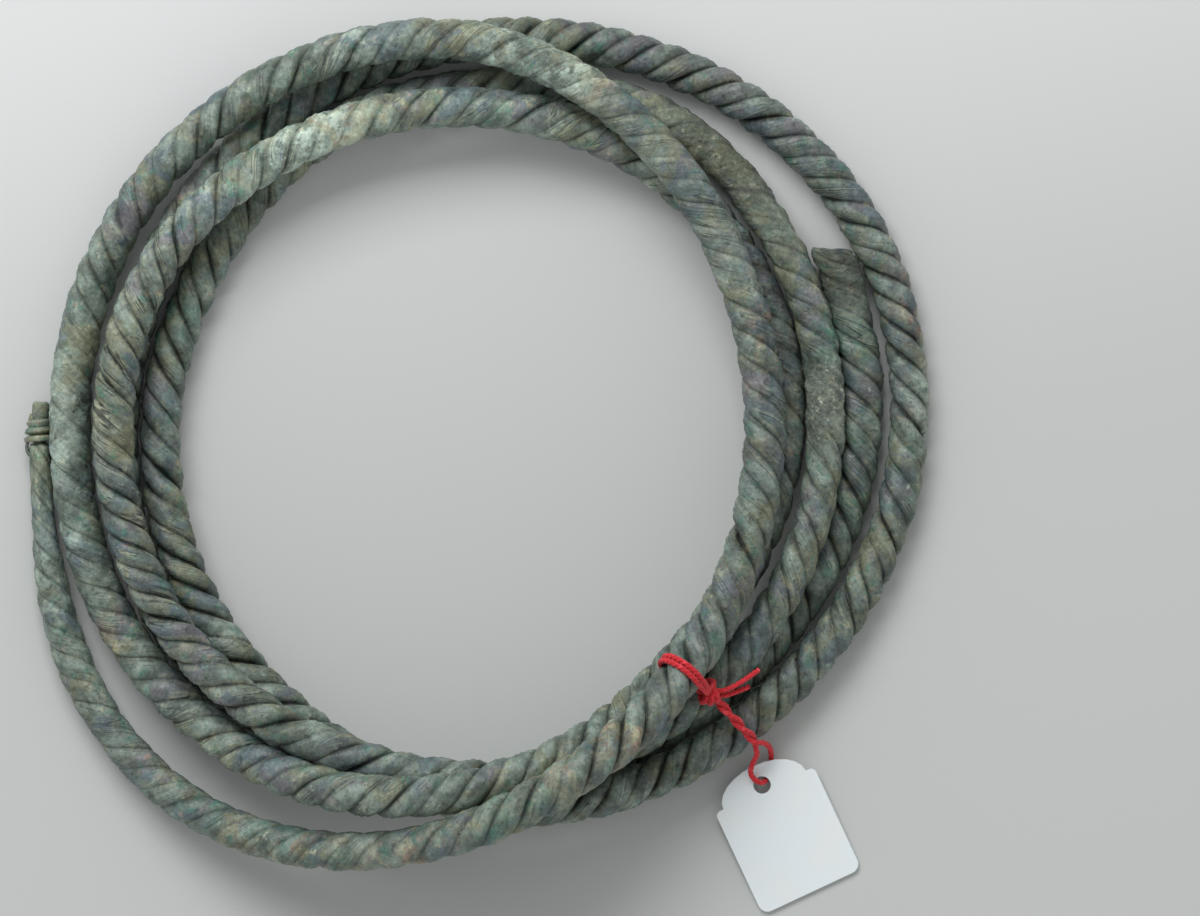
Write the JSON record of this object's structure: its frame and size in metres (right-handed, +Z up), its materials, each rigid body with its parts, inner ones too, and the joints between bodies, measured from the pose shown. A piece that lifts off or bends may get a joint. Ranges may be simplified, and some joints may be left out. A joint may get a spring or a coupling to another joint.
{
  "type": "spiral neck ring",
  "caption": "Twisted bronze bar coiled into a neck ring with a wire-bound pin end, and a card tag tied on with red thread.",
  "frame": {"origin": "centre of the ring's bounding box in plan, on the surface that the ring lies on; the tag and its lead aren't counted", "axes": "+Z up along the coil's axis, +Y towards the far side of the ring as pictured from above, +X to the right, where the bar's blunt end and the tag lie"},
  "size_m": [0.151, 0.1496, 0.0307],
  "materials": {
    "patinated_bronze": "rough verdigris over dark bronze",
    "patinated_wire": "rough verdigris over dark bronze",
    "red_thread": "matt twisted thread",
    "white_card": "matt card"
  },
  "bodies": {
    "ring": {"ring_bar": "patinated_bronze", "end_binding": "patinated_wire", "thread_loop": "red_thread", "thread_knot": "red_thread", "thread_tails": "red_thread", "tag_thread": "red_thread"},
    "tag": {"tag_card": "white_card"}
  },
  "joints": [
    {"name": "tag_turn", "type": "hinge", "parent": "ring", "child": "tag", "pos_m": [0.04769, -0.05721, 0.0015], "axis": [0.0244, -0.0521, 0.9983], "range_deg": [-40, 10]}
  ]
}
